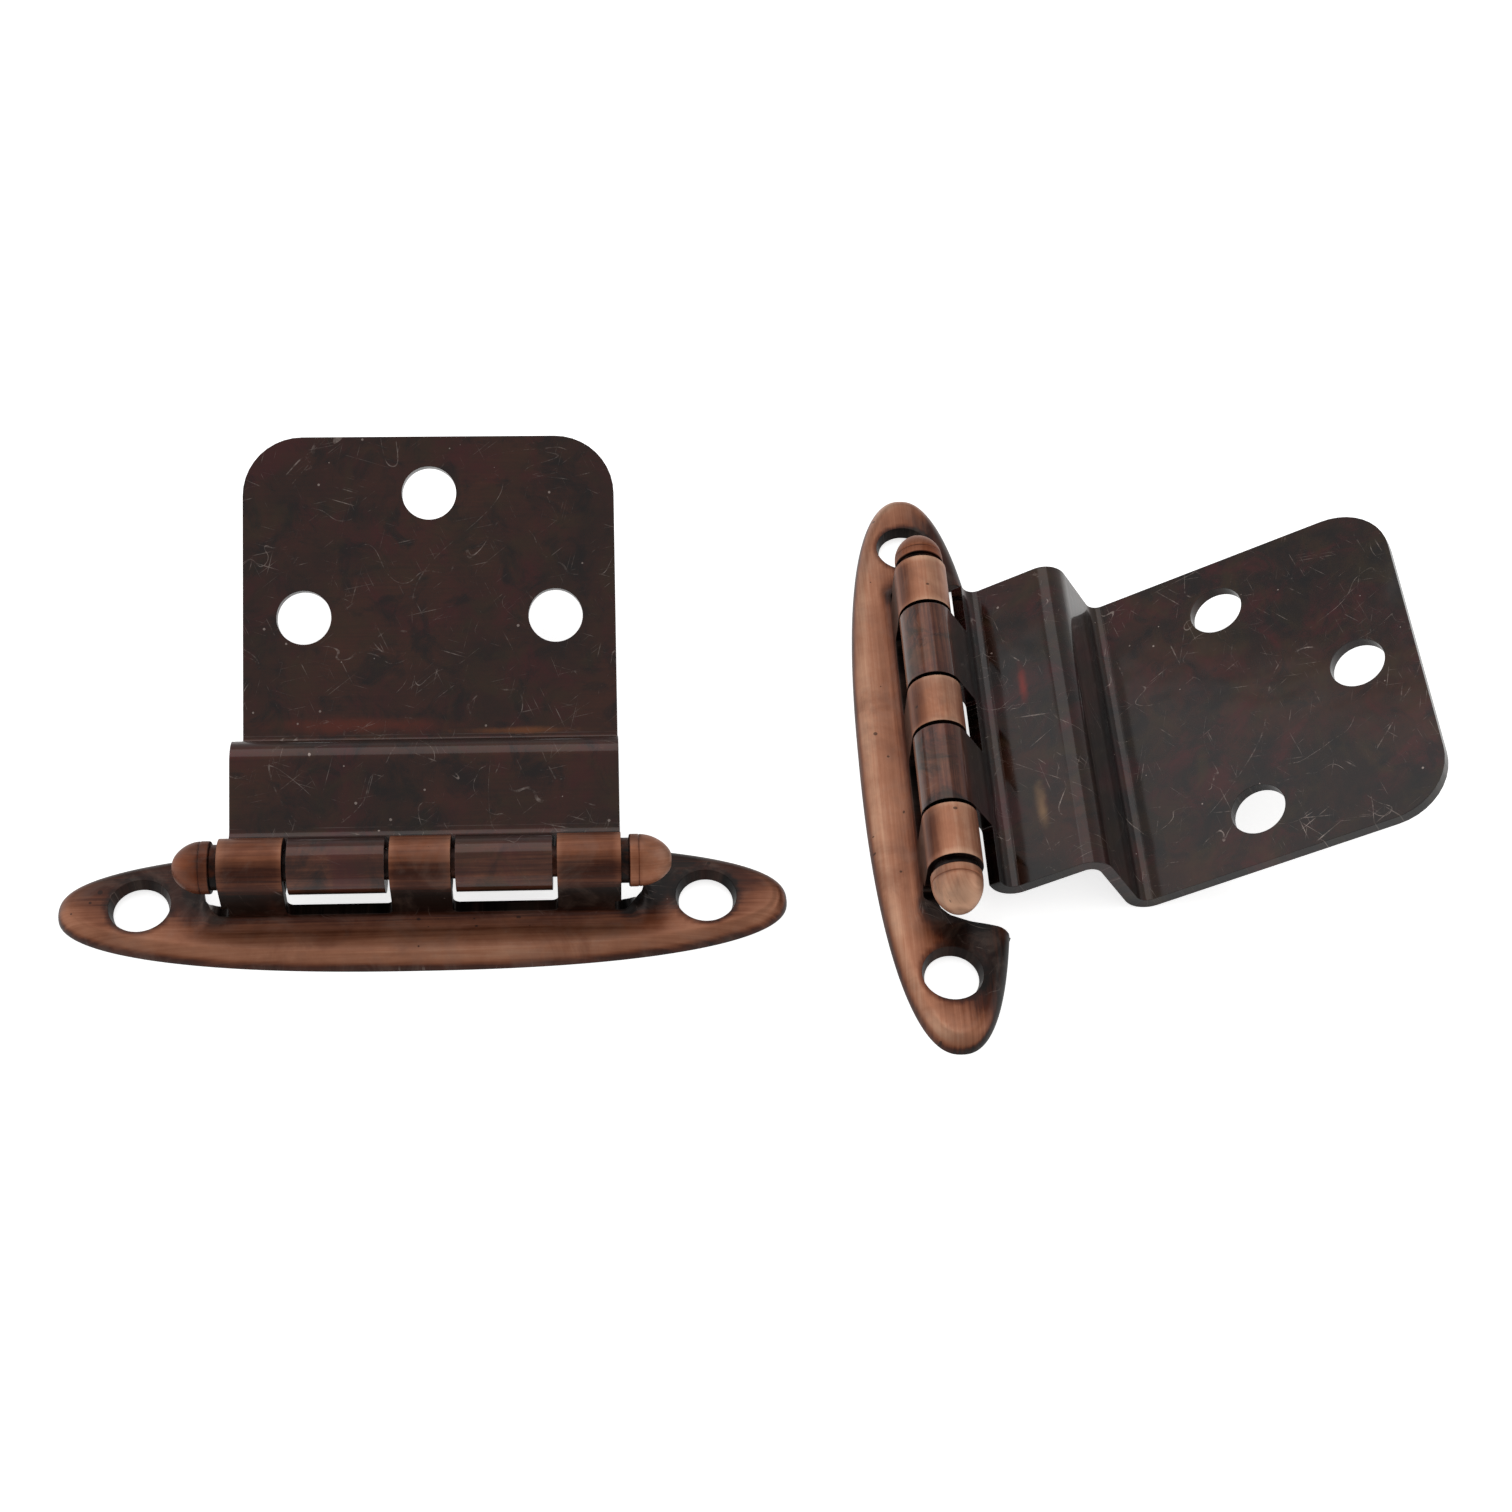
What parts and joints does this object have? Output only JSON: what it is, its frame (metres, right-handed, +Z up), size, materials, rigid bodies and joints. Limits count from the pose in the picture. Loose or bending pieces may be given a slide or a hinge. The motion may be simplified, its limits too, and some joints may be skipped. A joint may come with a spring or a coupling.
{
  "type": "pair of inset cabinet hinges",
  "caption": "Inset cabinet hinges: an oval frame leaf, a knuckled barrel with domed finials, and a stepped, drilled door leaf that wraps the door's lip.",
  "frame": {"origin": "centre of the pair's footprint, on the table that both hinges lie on", "axes": "+Z up off the table; +X along the barrel of the left hinge, towards the right hinge; +Y from the left hinge's oval leaf towards its door leaf; the right hinge is turned a quarter so that its door leaf points along +X"},
  "size_m": [0.132, 0.0698, 0.0175],
  "materials": {
    "brushed_copper": "copper-plated steel, oxidised and brushed back, clear lacquer",
    "dark_copper": "copper-plated steel, dark oxide, glossy clear lacquer",
    "finial_copper": "copper-plated steel, polished through the oxide, clear lacquer"
  },
  "bodies": {
    "frame_side": {"left_frame_leaf": "brushed_copper", "left_pin": "finial_copper", "left_pin_tip": "finial_copper", "right_frame_leaf": "brushed_copper", "right_pin": "finial_copper", "right_pin_tip": "finial_copper"},
    "left_door_side": {"left_door_leaf": "dark_copper"},
    "right_door_side": {"right_door_leaf": "dark_copper"}
  },
  "joints": [
    {"name": "left_hinge", "type": "hinge", "parent": "frame_side", "child": "left_door_side", "pos_m": [-0.03112, -0.0171, 0.0072], "axis": [1, 0, 0], "range_deg": [-31.9, 148]},
    {"name": "right_hinge", "type": "hinge", "parent": "frame_side", "child": "right_door_side", "pos_m": [0.01948, 0, 0.0072], "axis": [0, -1, 0], "range_deg": [-31.9, 148]}
  ]
}
